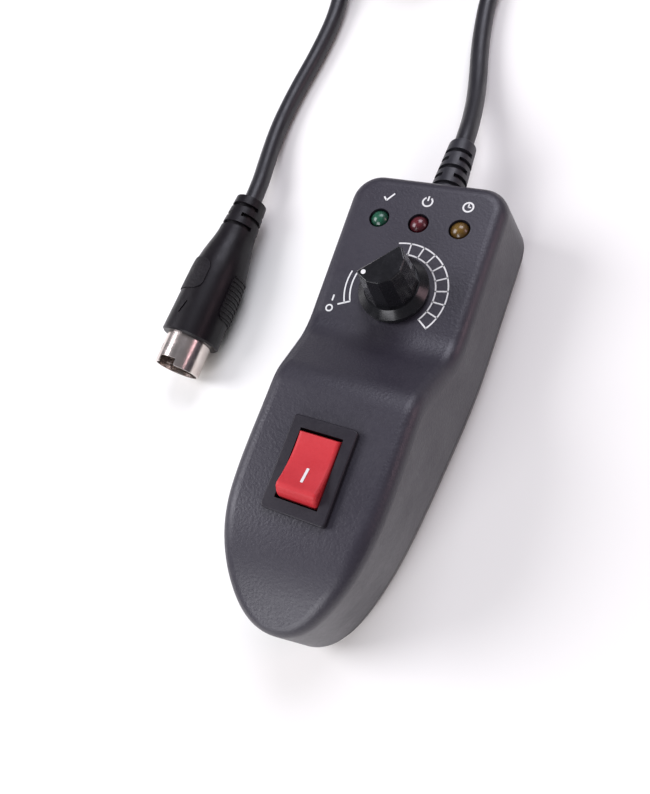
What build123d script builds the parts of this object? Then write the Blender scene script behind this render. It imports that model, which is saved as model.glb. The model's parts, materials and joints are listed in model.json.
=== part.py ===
"""Wired timer hand controller: moulded handset, three lamps, timer knob, rocker switch,
and a cord that ends in a round five-pin plug.

Millimetres. +Y points from the nose of the handset to its cord end, +X to the right, +Z up.
The origin is on the surface that the handset lies on, at the centre of the handset's box.
"""
import os
from math import atan2, cos, degrees, pi, radians, sin, tan

from build123d import *

# Handset
BODY_LENGTH = 118.0
END_Y = BODY_LENGTH / 2
NOSE_Y = -BODY_LENGTH / 2
HALF_WIDTH = 22.9
PARTING_Z = 7.0            # where the two shells meet
PANEL_Z = 26.0             # face that holds the lamps and the knob
LOFT_TOP_Z = 41.0          # over the highest point of the grip
WALL = 2.2
GRIP_LOW = (-0.5, 37.2)    # grip face from its ramp (Y, Z)
GRIP_HIGH = (-38.0, 39.53) # to the crown over the nose (Y, Z)
EDGE_RADIUS = 3.6
BOTTOM_EDGE_RADIUS = 3.0
PARTING_CHAMFER = 0.3
TRAY_GAP = 0.5             # the tray's wall is this much thicker than the top shell's

# Screws
CASE_SCREW_SPOTS = [(16.5, 49.5), (-16.5, 49.5), (8.8, -41.0), (-8.8, -41.0)]
CASE_PILOT_RADIUS = 1.1
CASE_SCREW_RADIUS = 1.3
CASE_HEAD_RADIUS = 2.4
CASE_HEAD_SEAT_Z = 4.0
BOARD_SCREW_SPOTS = [(10.5, 39.5), (-10.5, 39.5)]
BOARD_PILOT_RADIUS = 0.8
BOARD_SCREW_RADIUS = 1.0

# Circuit board and lamps
BOARD_TOP_Z = 17.8
BOARD_THICKNESS = 1.6
BOARD_Y = (37.0, 53.5)
BOARD_WIDTH = 26.0
LED_Y = 45.0
LED_PITCH = 10.3
LED_RADIUS = 2.5
LED_PROUD = 0.8            # dome over the panel
LEAD_SPACING = 2.54

# Timer knob and its potentiometer
KNOB_Y = 26.7
POINTER_ANGLE = 225.0      # knob pointer at the off stop, degrees from +X
KNOB_HEIGHT = 15.4         # top of the knob over the panel
KNOB_GAP = 0.6             # skirt over the panel
SKIRT_RADIUS = 8.5
SHAFT_RADIUS = 3.0
SHAFT_FLAT = 1.5           # flat of the D shaft from its axis
BUSHING_RADIUS = 3.5
RUNNING_FIT = 0.05
POT_RADIUS = 8.3
POT_TOP_Z = PANEL_Z - WALL
POT_HEIGHT = 9.5
SWITCH_HEIGHT = 7.5

# Rocker switch, laid out from its pivot
ROCKER_Y = -20.7
GRIP_FACE = 0.3            # grip face over the pivot
BEZEL_TOP = 2.0            # bezel top over the pivot
ROCKER_TILT = 10.0         # half of the rocker's swing
LEVER_TILT = 8.0           # half of the contact lever's swing
LEVER_DROP = 9.55          # lever's axis under the rocker's
BUTTON_WIDTH = 9.4
BUTTON_END_RADIUS = 7.45   # swing of the button's ends about its pivot
PIN_RADIUS = 1.0

# Cord and plug
CORD_DIAMETER = 5.4
CORD_RADIUS = CORD_DIAMETER / 2
CORD_EXIT_Z = 13.0
BOOT_ROOT = (0.0, 57.5, 13.0)
BOOT_TIP = (-0.5, 77.4, 10.9)
BOOT_NECK_RADIUS = 4.3
COIL_CENTRE = (-36.0, 187.0)
COIL_MID_RADIUS = 28.0
COIL_COLUMNS = 4
COIL_LAYERS = 4
TIE_THICKNESS = 0.8
TIE_ARC = 11.0             # part of the coil's circle under the tie
PLUG_FRONT = (-62.2, -3.1, 8.9)
PLUG_AXIS = (1.7, 57.5, -1.6)
PLUG_RADIUS = 8.6
DIN_RADIUS = 6.6
DIN_WALL = 0.5
DIN_LENGTH = 9.5           # how far the metal shell stands out of the moulding
PIN_CIRCLE_RADIUS = 3.5

grip_rise = (GRIP_HIGH[1] - GRIP_LOW[1]) / (GRIP_LOW[0] - GRIP_HIGH[0])
grip_slope = degrees(atan2(grip_rise, 1))
rocker_z = GRIP_LOW[1] + grip_rise * (GRIP_LOW[0] - ROCKER_Y) - GRIP_FACE / cos(radians(grip_slope))
coil_outer_turn = COIL_MID_RADIUS + CORD_DIAMETER * (COIL_COLUMNS - 1) / 2
coil_top_turn_z = CORD_RADIUS + CORD_DIAMETER * (COIL_LAYERS - 1)

# Inside the handset, from the board end to where the free cord starts in the boot
TAIL_ROUTE = [(0.0, 49.0, CORD_EXIT_Z), (0.0, 59.0, CORD_EXIT_Z), (-0.3, 70.0, 11.7)]
# From the boot to the bottom outer turn of the coil
BOOT_ROUTE = [
    (-0.3, 70.0, 11.7),
    (-0.6, 79.5, 10.6),
    (-1.9, 90.0, 7.4),
    (-4.6, 103.0, 3.9),
    (-9.2, 121.0, CORD_RADIUS),
    (-11.6, 142.0, CORD_RADIUS),
    (-4.0, 165.0, CORD_RADIUS),
    (COIL_CENTRE[0] + coil_outer_turn, COIL_CENTRE[1], CORD_RADIUS),
]
# From the plug to the top outer turn of the coil
PLUG_ROUTE = [
    (-60.63, 49.9, 7.43),
    (-60.7, 59.5, 6.5),
    (-63.0, 70.0, 4.4),
    (-64.8, 83.0, 2.9),
    (-63.8, 97.0, CORD_RADIUS),
    (-61.0, 114.0, CORD_RADIUS),
    (-60.0, 131.0, 2.9),
    (-63.0, 147.0, 4.8),
    (-68.4, 161.0, 10.6),
    (-71.6, 174.0, 16.6),
    (COIL_CENTRE[0] - coil_outer_turn, COIL_CENTRE[1], coil_top_turn_z),
]

os.makedirs("parts", exist_ok=True)


def save(part, name):
    part.label = name
    export_step(part, f"parts/{name}.step")


def tangent_radii(route):
    """Largest smooth arc at each corner: 0.45 of the shorter run over tan(half the turn)."""
    points = [Vector(*point) for point in route]
    radii = []
    for before, corner, after in zip(points, points[1:], points[2:]):
        shorter = min((corner - before).length, (after - corner).length)
        turn = (corner - before).get_angle(after - corner)
        radii.append(0.45 * shorter / tan(radians(turn / 2)))
    return radii


def tube(route, radius, radii):
    """Round tube along straight runs joined by tangent arcs."""
    with BuildPart(mode=Mode.PRIVATE) as swept:
        with BuildLine():
            path = FilletPolyline(*route, radius=radii)
        with BuildSketch(Plane(origin=path @ 0, z_dir=path % 0)):
            Circle(radius)
        sweep(path=path)
    return swept.part, path.length


# ---- The two shells ----

def plan_outline(end_y, end_half, corner, waist, belly, nose_y):
    """Closed plan outline: straight cord end with round corners, curved sides, round nose."""
    with BuildSketch(mode=Mode.PRIVATE) as outline:
        with BuildLine():
            end = Line((0, end_y), (end_half - corner, end_y))
            turn = TangentArc(end @ 1, (end_half, end_y - corner), tangent=(1, 0))
            side = Line(turn @ 1, waist)
            Spline(side @ 1, *belly, (0, nose_y), tangents=[side % 1, (-1, 0)])
            mirror(about=Plane.YZ)
        make_face()
    return outline.sketch


def base_outline(inset):
    """Plan outline at the parting plane."""
    return plan_outline(
        END_Y - inset, HALF_WIDTH - inset, 8.0 - inset, (22.5 - inset, 20.0),
        [(20.6 - inset, -5.0), (17.6 - inset, -28.0), (13.6 - inset, -45.0 + 0.3 * inset)],
        NOSE_Y + inset,
    )


def crown_outline(inset):
    """Plan outline at the top of the drafted walls."""
    return plan_outline(
        END_Y - 2.6 - inset, 17.2 - inset, 6.5 - inset, (17.1 - inset, 8.0),
        [(17.0 - inset, -4.0), (17.6 - inset, -24.0), (14.4 - inset, -42.0 + 0.3 * inset)],
        NOSE_Y + 5.0 + inset,
    )


def walled_block(inset):
    """The handset over its parting plane, before its top face is shaped."""
    with BuildPart(mode=Mode.PRIVATE) as block:
        with BuildSketch(Plane.XY.offset(PARTING_Z)):
            add(base_outline(inset))
        with BuildSketch(Plane.XY.offset(LOFT_TOP_Z)):
            add(crown_outline(inset))
        loft(ruled=True)
    return block.part


def over_top_face(drop):
    """Everything over the top face: panel, concave ramp, grip and falling nose."""
    beyond = END_Y + 6
    with BuildPart(mode=Mode.PRIVATE) as over:
        with BuildSketch(Plane.YZ):
            with BuildLine():
                face = FilletPolyline(
                    (beyond, PANEL_Z - drop),
                    (14.0, PANEL_Z - drop),
                    (GRIP_LOW[0], GRIP_LOW[1] - drop),
                    (GRIP_HIGH[0], GRIP_HIGH[1] - drop),
                    (-57.0, 31.6 - drop),
                    (-beyond, 27.0 - drop),
                    radius=[13.0, 11.0, 42.0, 20.0],
                )
                Polyline(face @ 1, (-beyond, 60), (beyond, 60), face @ 0)
            make_face()
        extrude(amount=40, both=True)
    return over.part


def is_rim(edge):
    """Edges between the side wall and the top face."""
    crosses_top = edge.geom_type == GeomType.LINE and abs((edge % 0.5).X) > 0.99
    return edge.center().Z > PANEL_Z - 0.5 and not crosses_top


def pivot_plane(angle, rise=0.0):
    """Plane across the rocker: X across, Z along the switch's own height, turned about its pivot."""
    turned = radians(grip_slope + angle)
    up = Vector(0, sin(turned), cos(turned))
    return Plane(origin=Vector(0, ROCKER_Y, rocker_z) + up * rise, x_dir=(1, 0, 0), z_dir=up)


def side_plane(angle, drop=0.0):
    """Plane seen from the side: X along the switch, Y along its height."""
    level = pivot_plane(0, -drop)
    turned = radians(grip_slope + angle)
    return Plane(origin=level.origin, x_dir=(0, cos(turned), -sin(turned)), z_dir=(1, 0, 0))


raw_block = walled_block(0) - over_top_face(0)
rimmed_block = raw_block.fillet(EDGE_RADIUS, raw_block.edges().filter_by(is_rim))
upper_block = rimmed_block.chamfer(PARTING_CHAMFER, None, rimmed_block.edges().group_by(Axis.Z)[0])
upper_cavity = walled_block(WALL) - over_top_face(WALL)

with BuildPart() as bosses:
    with BuildSketch(Plane.XY.offset(PARTING_Z)):
        with Locations(*CASE_SCREW_SPOTS):
            Circle(3.0)
    extrude(amount=LOFT_TOP_Z)
    with BuildSketch(Plane.XY.offset(BOARD_TOP_Z)):
        with Locations(*BOARD_SCREW_SPOTS):
            Circle(2.3)
    extrude(amount=LOFT_TOP_Z)

with BuildPart() as top_shell:
    add(upper_block - upper_cavity)
    add(bosses.part & upper_block)
    with BuildSketch(Plane.XY.offset(PARTING_Z - 1)):
        with Locations(*CASE_SCREW_SPOTS):
            Circle(CASE_PILOT_RADIUS)
    extrude(amount=14, mode=Mode.SUBTRACT)
    with BuildSketch(Plane.XY.offset(BOARD_TOP_Z - 1)):
        with Locations(*BOARD_SCREW_SPOTS):
            Circle(BOARD_PILOT_RADIUS)
    extrude(amount=6, mode=Mode.SUBTRACT)
    with BuildSketch(Plane.XY.offset(POT_TOP_Z - 1)):
        with Locations((-LED_PITCH, LED_Y), (0, LED_Y), (LED_PITCH, LED_Y)):
            Circle(LED_RADIUS + 0.1)
        with Locations((0, KNOB_Y)):
            Circle(BUSHING_RADIUS)
    extrude(amount=WALL + 4, mode=Mode.SUBTRACT)
    with BuildSketch(pivot_plane(0, -6)):
        Rectangle(13.0, 19.2)
    extrude(amount=14, mode=Mode.SUBTRACT)
    with BuildSketch(Plane.XZ.offset(-END_Y - 3)):
        with Locations((0, CORD_EXIT_Z)):
            Circle(BOOT_NECK_RADIUS)
    extrude(amount=12, mode=Mode.SUBTRACT)
save(top_shell.part, "top_shell")

with BuildPart() as lower_block:
    with BuildSketch(Plane.XY.offset(PARTING_Z)):
        add(base_outline(0))
    with BuildSketch():
        add(base_outline(0.8))
    loft(ruled=True)
    chamfer(edges().group_by(Axis.Z)[-1], PARTING_CHAMFER)
    fillet(edges().group_by(Axis.Z)[0], BOTTOM_EDGE_RADIUS)

with BuildPart() as tray_hollow:
    with BuildSketch(Plane.XY.offset(WALL)):
        add(base_outline(WALL + TRAY_GAP))
    extrude(amount=PARTING_Z)

with BuildPart() as bottom_shell:
    add(lower_block.part - tray_hollow.part)
    with BuildSketch(Plane.XY.offset(WALL - 1)):
        with Locations(*CASE_SCREW_SPOTS):
            Circle(3.6)
    extrude(amount=PARTING_Z - WALL + 1)
    with Locations(*[(x, y, 0) for x, y in CASE_SCREW_SPOTS]):
        with Locations(Location((0, 0, 0), (180, 0, 0))):
            CounterBoreHole(CASE_SCREW_RADIUS + 0.1, CASE_HEAD_RADIUS + 0.3, CASE_HEAD_SEAT_Z, depth=10)
save(bottom_shell.part, "bottom_shell")


# ---- Screws ----

with BuildPart() as case_screws:
    with BuildSketch(Plane.XY.offset(CASE_HEAD_SEAT_Z - 1.6)):
        with Locations(*CASE_SCREW_SPOTS):
            Circle(CASE_HEAD_RADIUS)
    extrude(amount=1.6)
    with BuildSketch(Plane.XY.offset(CASE_HEAD_SEAT_Z)):
        with Locations(*CASE_SCREW_SPOTS):
            Circle(CASE_SCREW_RADIUS)
    extrude(amount=13)
    with BuildSketch(Plane.XY.offset(CASE_HEAD_SEAT_Z - 1.6)):
        with Locations(*CASE_SCREW_SPOTS):
            Rectangle(2.6, 0.6)
            Rectangle(0.6, 2.6)
    extrude(amount=1.0, mode=Mode.SUBTRACT)
save(case_screws.part, "case_screws")

with BuildPart() as board_screws:
    with BuildSketch(Plane.XY.offset(BOARD_TOP_Z - BOARD_THICKNESS - 1.2)):
        with Locations(*BOARD_SCREW_SPOTS):
            Circle(1.9)
    extrude(amount=1.2)
    with BuildSketch(Plane.XY.offset(BOARD_TOP_Z - BOARD_THICKNESS)):
        with Locations(*BOARD_SCREW_SPOTS):
            Circle(BOARD_SCREW_RADIUS)
    extrude(amount=6)
save(board_screws.part, "board_screws")


# ---- Circuit board, lamps and the parts on the board ----

led_spots = {"led_green": -LED_PITCH, "led_red": 0.0, "led_yellow": LED_PITCH}
lead_spots = [(x + side * LEAD_SPACING / 2, LED_Y) for x in led_spots.values() for side in (-1, 1)]

with BuildPart() as circuit_board:
    with BuildSketch(Plane.XY.offset(BOARD_TOP_Z - BOARD_THICKNESS)):
        with Locations((0, sum(BOARD_Y) / 2)):
            RectangleRounded(BOARD_WIDTH, BOARD_Y[1] - BOARD_Y[0], 1.0)
        with Locations(*BOARD_SCREW_SPOTS):
            Circle(BOARD_SCREW_RADIUS + 0.15, mode=Mode.SUBTRACT)
        with Locations(*lead_spots):
            Circle(0.45, mode=Mode.SUBTRACT)
    extrude(amount=BOARD_THICKNESS)
save(circuit_board.part, "circuit_board")

with BuildPart() as led_leads:
    with BuildSketch(Plane.XY.offset(BOARD_TOP_Z - BOARD_THICKNESS - 1.4)):
        with Locations(*lead_spots):
            Rectangle(0.5, 0.5)
    extrude(amount=BOARD_THICKNESS + 1.4 + 0.2)
save(led_leads.part, "led_leads")

for led_name, led_x in led_spots.items():
    with BuildPart() as led:
        with BuildSketch(Plane.XZ.offset(-LED_Y)):
            with BuildLine():
                dome_top_z = PANEL_Z + LED_PROUD
                dome_z = dome_top_z - LED_RADIUS
                flange_z = BOARD_TOP_Z + 0.2
                Polyline((led_x, dome_top_z), (led_x, flange_z), (led_x + 2.9, flange_z),
                         (led_x + 2.9, flange_z + 1), (led_x + LED_RADIUS, flange_z + 1),
                         (led_x + LED_RADIUS, dome_z))
                RadiusArc((led_x + LED_RADIUS, dome_z), (led_x, dome_top_z), -LED_RADIUS)
            make_face()
        revolve(axis=Axis((led_x, LED_Y, 0), (0, 0, 1)))
    save(led.part, led_name)

CHIP_SPOT = (-5.4, 42.0)
board_underside = BOARD_TOP_Z - BOARD_THICKNESS

with BuildPart() as timer_chip:
    with BuildSketch(Plane.XY.offset(board_underside - 1.7)):
        with Locations(CHIP_SPOT):
            Rectangle(4.0, 5.0)
    extrude(amount=1.5)
    with BuildSketch(Plane.XY.offset(board_underside - 0.9)):
        with Locations(CHIP_SPOT):
            with GridLocations(0, 1.27, 1, 4):
                Rectangle(6.0, 0.42)
    extrude(amount=0.9)
save(timer_chip.part, "timer_chip")

with BuildPart() as capacitor:
    with BuildSketch(Plane.XY.offset(board_underside - 7)):
        with Locations((5.6, 42.0)):
            Circle(2.5)
    extrude(amount=7)
    fillet(edges().group_by(Axis.Z)[0], 0.4)
save(capacitor.part, "capacitor")

with BuildPart() as resistors:
    for resistor_x in (-8.0, 0.0, 8.0):
        with BuildSketch(Plane.YZ.offset(resistor_x - 3)):
            with Locations((50.5, BOARD_TOP_Z + 1.2)):
                Circle(1.0)
        extrude(amount=6)
save(resistors.part, "resistors")


# ---- Potentiometer with its off switch, and the knob ----

pot_axis = Axis((0, KNOB_Y, 0), (0, 0, 1))
bushing_top_z = PANEL_Z + 4.3
shaft_top_z = PANEL_Z + 10.4
pot_bottom_z = POT_TOP_Z - POT_HEIGHT

with BuildPart() as pot_body:
    with BuildSketch(Plane.XY.offset(pot_bottom_z)):
        with Locations((0, KNOB_Y)):
            Circle(POT_RADIUS)
    extrude(amount=POT_HEIGHT)
    fillet(edges().group_by(Axis.Z)[-1], 0.6)
    with BuildSketch(Plane.XY.offset(POT_TOP_Z - 1)):
        with Locations((0, KNOB_Y)):
            Circle(BUSHING_RADIUS)
    extrude(amount=bushing_top_z - POT_TOP_Z + 1)
    with BuildSketch(Plane.XY.offset(pot_bottom_z)):
        with Locations((0, KNOB_Y)):
            Circle(POT_RADIUS - 0.6)
    extrude(amount=POT_HEIGHT - 1.6, mode=Mode.SUBTRACT)
    with BuildSketch(Plane.XY.offset(pot_bottom_z)):
        with Locations((0, KNOB_Y)):
            Circle(SHAFT_RADIUS + RUNNING_FIT)
    extrude(amount=20, mode=Mode.SUBTRACT)
save(pot_body.part, "pot_body")

with BuildPart() as pot_track:
    with BuildSketch(Plane.XY.offset(pot_bottom_z)):
        with Locations((0, KNOB_Y)):
            Circle(POT_RADIUS - 0.6)
    extrude(amount=1.6)
save(pot_track.part, "pot_track")

with BuildPart() as pot_switch:
    with BuildSketch(Plane.XY.offset(pot_bottom_z - SWITCH_HEIGHT)):
        with Locations((0, KNOB_Y)):
            Circle(POT_RADIUS - 0.3)
    extrude(amount=SWITCH_HEIGHT)
    fillet(edges().group_by(Axis.Z)[0], 0.5)
save(pot_switch.part, "pot_switch")

with BuildPart() as pot_terminals:
    with BuildSketch(Plane.XY.offset(pot_bottom_z + 0.5)):
        with Locations((-4.5, KNOB_Y - 10.0), (0, KNOB_Y - 10.0), (4.5, KNOB_Y - 10.0)):
            Rectangle(1.4, 7.0)
    extrude(amount=0.4)
    with BuildSketch(Plane.XY.offset(pot_bottom_z - SWITCH_HEIGHT - 3.2)):
        with Locations((-5.5, KNOB_Y), (5.5, KNOB_Y)):
            Rectangle(0.5, 2.2)
    extrude(amount=3.6)
pot_terminals_part = pot_terminals.part - pot_body.part - pot_track.part - pot_switch.part
save(pot_terminals_part, "pot_terminals")

with BuildPart() as pot_washer:
    with BuildSketch(Plane.XY.offset(PANEL_Z)):
        with Locations((0, KNOB_Y)):
            Circle(5.6)
            Circle(BUSHING_RADIUS, mode=Mode.SUBTRACT)
    extrude(amount=0.5)
save(pot_washer.part, "pot_washer")

with BuildPart() as pot_nut:
    with BuildSketch(Plane.XY.offset(PANEL_Z + 0.5)):
        with Locations((0, KNOB_Y)):
            RegularPolygon(5.0, 6, major_radius=False)
            Circle(BUSHING_RADIUS, mode=Mode.SUBTRACT)
    extrude(amount=1.9)
save(pot_nut.part, "pot_nut")

knob_plane = Plane(
    origin=(0, KNOB_Y, PANEL_Z),
    x_dir=(cos(radians(POINTER_ANGLE)), sin(radians(POINTER_ANGLE)), 0),
    z_dir=(0, 0, 1),
)

with BuildPart() as pot_shaft:
    with BuildSketch(knob_plane.offset(pot_bottom_z + 2.0 - PANEL_Z)):
        Circle(SHAFT_RADIUS)
    extrude(amount=shaft_top_z - pot_bottom_z - 2.0)
    chamfer(edges().group_by(Axis.Z)[-1], 0.4)
    with BuildSketch(knob_plane.offset(4.6)):
        with Locations((0, -SHAFT_FLAT - 3)):
            Rectangle(10, 6)
    extrude(amount=8, mode=Mode.SUBTRACT)
save(pot_shaft.part, "pot_shaft")

with BuildPart() as pot_wiper:
    with BuildSketch(knob_plane.offset(pot_bottom_z + 3.0 - PANEL_Z)):
        Circle(6.6)
        Circle(SHAFT_RADIUS, mode=Mode.SUBTRACT)
    extrude(amount=1.4)
    with BuildSketch(knob_plane.offset(pot_bottom_z + 1.9 - PANEL_Z)):
        with Locations((5.4, 0)):
            Rectangle(1.6, 3.0)
    extrude(amount=1.4)
save(pot_wiper.part, "pot_wiper")

BARREL_FOOT = 3.8          # skirt's upper edge over the panel
CUT_AT_TOP = 0.9           # cut-away face from the axis, at the knob's top
CUT_AT_FOOT = 5.3          # and where it meets the skirt
CUT_CHAMFER = 0.4          # along the straight edge of the half-moon top
with BuildPart() as control_knob:
    with BuildSketch(Plane(origin=knob_plane.origin, x_dir=(1, 0, 0), z_dir=(0, -1, 0))):
        with BuildLine():
            Polyline((0, KNOB_GAP), (SKIRT_RADIUS, KNOB_GAP), (SKIRT_RADIUS, 2.0), (8.3, 2.2),
                     (6.7, BARREL_FOOT), (0, BARREL_FOOT), (0, KNOB_GAP))
        make_face()
    revolve(axis=pot_axis)
    with BuildSketch(knob_plane.offset(BARREL_FOOT - 0.5)):
        RegularPolygon(6.5, 12)
    with BuildSketch(knob_plane.offset(KNOB_HEIGHT)):
        RegularPolygon(5.55, 12)
    loft(ruled=True)
    fillet(edges().group_by(Axis.Z)[-1], 0.3)
    with BuildSketch(Plane(origin=knob_plane.origin, x_dir=knob_plane.y_dir, z_dir=knob_plane.x_dir)):
        with BuildLine():
            Polyline((CUT_CHAMFER - CUT_AT_TOP, KNOB_HEIGHT + 0.01), (-12, KNOB_HEIGHT + 0.01),
                     (-12, BARREL_FOOT), (-CUT_AT_FOOT, BARREL_FOOT),
                     (-CUT_AT_TOP, KNOB_HEIGHT - CUT_CHAMFER),
                     (CUT_CHAMFER - CUT_AT_TOP, KNOB_HEIGHT + 0.01))
        make_face()
    extrude(amount=12, both=True, mode=Mode.SUBTRACT)
    with BuildSketch(knob_plane):
        Circle(6.4)
    extrude(amount=2.9, mode=Mode.SUBTRACT)
    with BuildSketch(knob_plane):
        Circle(BUSHING_RADIUS + 0.5)
    extrude(amount=5.1, mode=Mode.SUBTRACT)
    with BuildSketch(knob_plane.offset(5)):
        Circle(SHAFT_RADIUS)
        with Locations((0, -SHAFT_FLAT - 3)):
            Rectangle(10, 6, mode=Mode.SUBTRACT)
    extrude(amount=5.9, mode=Mode.SUBTRACT)
    with BuildSketch(knob_plane.offset(KNOB_HEIGHT - 0.3)):
        with Locations((4.2, 0.35)):
            Circle(0.55)
    extrude(amount=1, mode=Mode.SUBTRACT)
save(control_knob.part, "control_knob")

with BuildPart() as knob_dot:
    with BuildSketch(knob_plane.offset(KNOB_HEIGHT - 0.3)):
        with Locations((4.2, 0.35)):
            Circle(0.55)
    extrude(amount=0.33)
save(knob_dot.part, "knob_dot")


# ---- Rocker switch ----

HOUSING_FLOOR = -11.1
HOUSING_BOTTOM = -12.6
TERMINAL_SIZE = (4.8, 0.8)
TERMINAL_END = -20.5
FULCRUM_TOP = -9.95
FIXED_CONTACT_TOP = -10.1
FIXED_CONTACT_Y = 5.0

with BuildPart() as rocker_housing:
    with BuildSketch(pivot_plane(0, HOUSING_BOTTOM)):
        Rectangle(12.8, 18.8)
    extrude(amount=GRIP_FACE - HOUSING_BOTTOM)
    with BuildSketch(pivot_plane(0, GRIP_FACE)):
        RectangleRounded(15.0, 21.0, 0.9)
    extrude(amount=BEZEL_TOP - GRIP_FACE)
    bezel_rim = faces().sort_by(Axis((0, ROCKER_Y, 0), pivot_plane(0).z_dir))[-1].edges()
    fillet(bezel_rim, 0.4)
    with BuildSketch(side_plane(0)):
        for end in (-1, 1):
            with BuildLine():
                Polyline((end * 9.3, -2.1), (end * 10.0, -2.3), (end * 9.3, -6.0), (end * 9.3, -2.1))
            make_face()
    extrude(amount=2.5, both=True)
    with BuildSketch(pivot_plane(0, HOUSING_FLOOR)):
        Rectangle(10.0, 15.6)
    extrude(amount=BEZEL_TOP - HOUSING_FLOOR, mode=Mode.SUBTRACT)
    with BuildSketch(side_plane(0)):
        Circle(PIN_RADIUS + RUNNING_FIT)
    extrude(amount=5.95, both=True, mode=Mode.SUBTRACT)
    with BuildSketch(pivot_plane(0, HOUSING_BOTTOM - 1)):
        with Locations((0, 0), (0, FIXED_CONTACT_Y)):
            Rectangle(*TERMINAL_SIZE)
    extrude(amount=4, mode=Mode.SUBTRACT)
save(rocker_housing.part, "rocker_housing")

CREST_RADIUS = 1.3         # crests at the two ends of the button's hollow top
with BuildPart() as rocker_button:
    with BuildSketch(side_plane(ROCKER_TILT)):
        with BuildLine():
            Line((7.18, 2.0), (6.2, 4.0))
            ThreePointArc((6.2, 4.0), (0, 2.9), (-6.2, 4.0))
            Line((-6.2, 4.0), (-7.18, 2.0))
            ThreePointArc((-7.18, 2.0), (-BUTTON_END_RADIUS, 0), (-6.73, -3.2))
            Polyline((-6.73, -3.2), (-3.2, -5.2), (3.2, -5.2), (6.73, -3.2))
            ThreePointArc((6.73, -3.2), (BUTTON_END_RADIUS, 0), (7.18, 2.0))
        make_face()
    extrude(amount=BUTTON_WIDTH / 2, both=True)
    fillet(edges().filter_by(Axis.X).filter_by(lambda e: e.center().Z > rocker_z + 2.7
                                               and abs(e.center().Y - ROCKER_Y) < 6.9), CREST_RADIUS)
    fillet(edges().filter_by(lambda e: abs(e.center().X) > 4.6 and e.center().Z > rocker_z + 1.5), 0.7)
    with BuildSketch(side_plane(ROCKER_TILT)):
        Circle(PIN_RADIUS)
    extrude(amount=5.8, both=True)
    with BuildSketch(pivot_plane(ROCKER_TILT, -5.3)):
        Circle(1.35)
    extrude(amount=4.0, mode=Mode.SUBTRACT)
save(rocker_button.part, "rocker_button")

with BuildPart() as plunger_spring:
    with BuildSketch(pivot_plane(ROCKER_TILT, -3.4)):
        Circle(1.2)
        Circle(0.8, mode=Mode.SUBTRACT)
    extrude(amount=2.1)
save(plunger_spring.part, "plunger_spring")

with BuildPart() as rocker_plunger:
    with BuildSketch(side_plane(ROCKER_TILT)):
        with BuildLine():
            Polyline((0, -8.9), (0, -3.4), (1.25, -3.4), (1.25, -7.65))
            RadiusArc((1.25, -7.65), (0, -8.9), 1.25)
        make_face()
    revolve(axis=Axis((0, ROCKER_Y, rocker_z), pivot_plane(ROCKER_TILT).z_dir))
save(rocker_plunger.part, "rocker_plunger")

with BuildPart() as contact_lever:
    with BuildSketch(side_plane(-LEVER_TILT, LEVER_DROP)):
        with BuildLine():
            Polyline((0, 0.25), (5.5, 0.95), (5.5, 0.45), (0, -0.25), (-5.5, 0.45), (-5.5, 0.95), (0, 0.25))
        make_face()
    extrude(amount=2.0, both=True)
save(contact_lever.part, "contact_lever")

with BuildPart() as rocker_terminals:
    for along, top in ((0, FULCRUM_TOP), (FIXED_CONTACT_Y, FIXED_CONTACT_TOP)):
        with BuildSketch(pivot_plane(0, TERMINAL_END)):
            with Locations((0, along)):
                Rectangle(*TERMINAL_SIZE)
        extrude(amount=top - TERMINAL_END)
save(rocker_terminals.part, "rocker_terminals")


# ---- Wires inside the handset ----

WIRE_RADIUS = 0.55
terminal_feet = [pivot_plane(0, TERMINAL_END).from_local_coords((0, along, 0)) for along in (0, FIXED_CONTACT_Y)]
switch_wire_parts = []
for side, foot in zip((-1, 1), terminal_feet):
    switch_wire, _ = tube(
        [(side * 1.5, foot.Y, foot.Z), (side * 1.5, foot.Y, 10.0), (side * 11.5, foot.Y + 12, 6.0),
         (side * 12.0, 32.0, 6.0), (side * 11.5, 43.3, 9.0), (side * 11.5, 43.3, board_underside)],
        WIRE_RADIUS, [3.0, 5.0, 8.0, 3.0])
    switch_wire_parts.append(switch_wire)
save(Compound(children=switch_wire_parts), "switch_wires")

pot_wire_parts = []
for wire_x, lug_x in ((-2.6, -4.5), (0, 0), (2.6, 4.5)):
    pot_wire, _ = tube(
        [(lug_x, KNOB_Y - 13.5, pot_bottom_z + 0.7), (lug_x, KNOB_Y - 14.7, 9.0), (wire_x, KNOB_Y - 12.0, 4.4),
         (wire_x, 36.0, 4.4), (wire_x, 38.6, 8.0), (wire_x, 38.6, board_underside)],
        WIRE_RADIUS, [3.0, 2.0, 2.0, 2.0])
    pot_wire_parts.append(pot_wire)
save(Compound(children=pot_wire_parts), "pot_wires")

cord_wire_parts = []
for wire_x, start_x, start_z in ((-5.0, -1.2, 0.6), (-1.9, -0.7, -1.1), (1.9, 0.7, -1.1), (5.0, 1.2, 0.6)):
    cord_wire, _ = tube(
        [(start_x, 49.0, CORD_EXIT_Z + start_z), (start_x, 47.6, CORD_EXIT_Z + start_z),
         (wire_x, 47.2, CORD_EXIT_Z), (wire_x, 47.2, board_underside)],
        WIRE_RADIUS, [0.3, 0.6])
    cord_wire_parts.append(cord_wire)
save(Compound(children=cord_wire_parts), "cord_wires")


# ---- Cord, boot and tie ----

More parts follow.
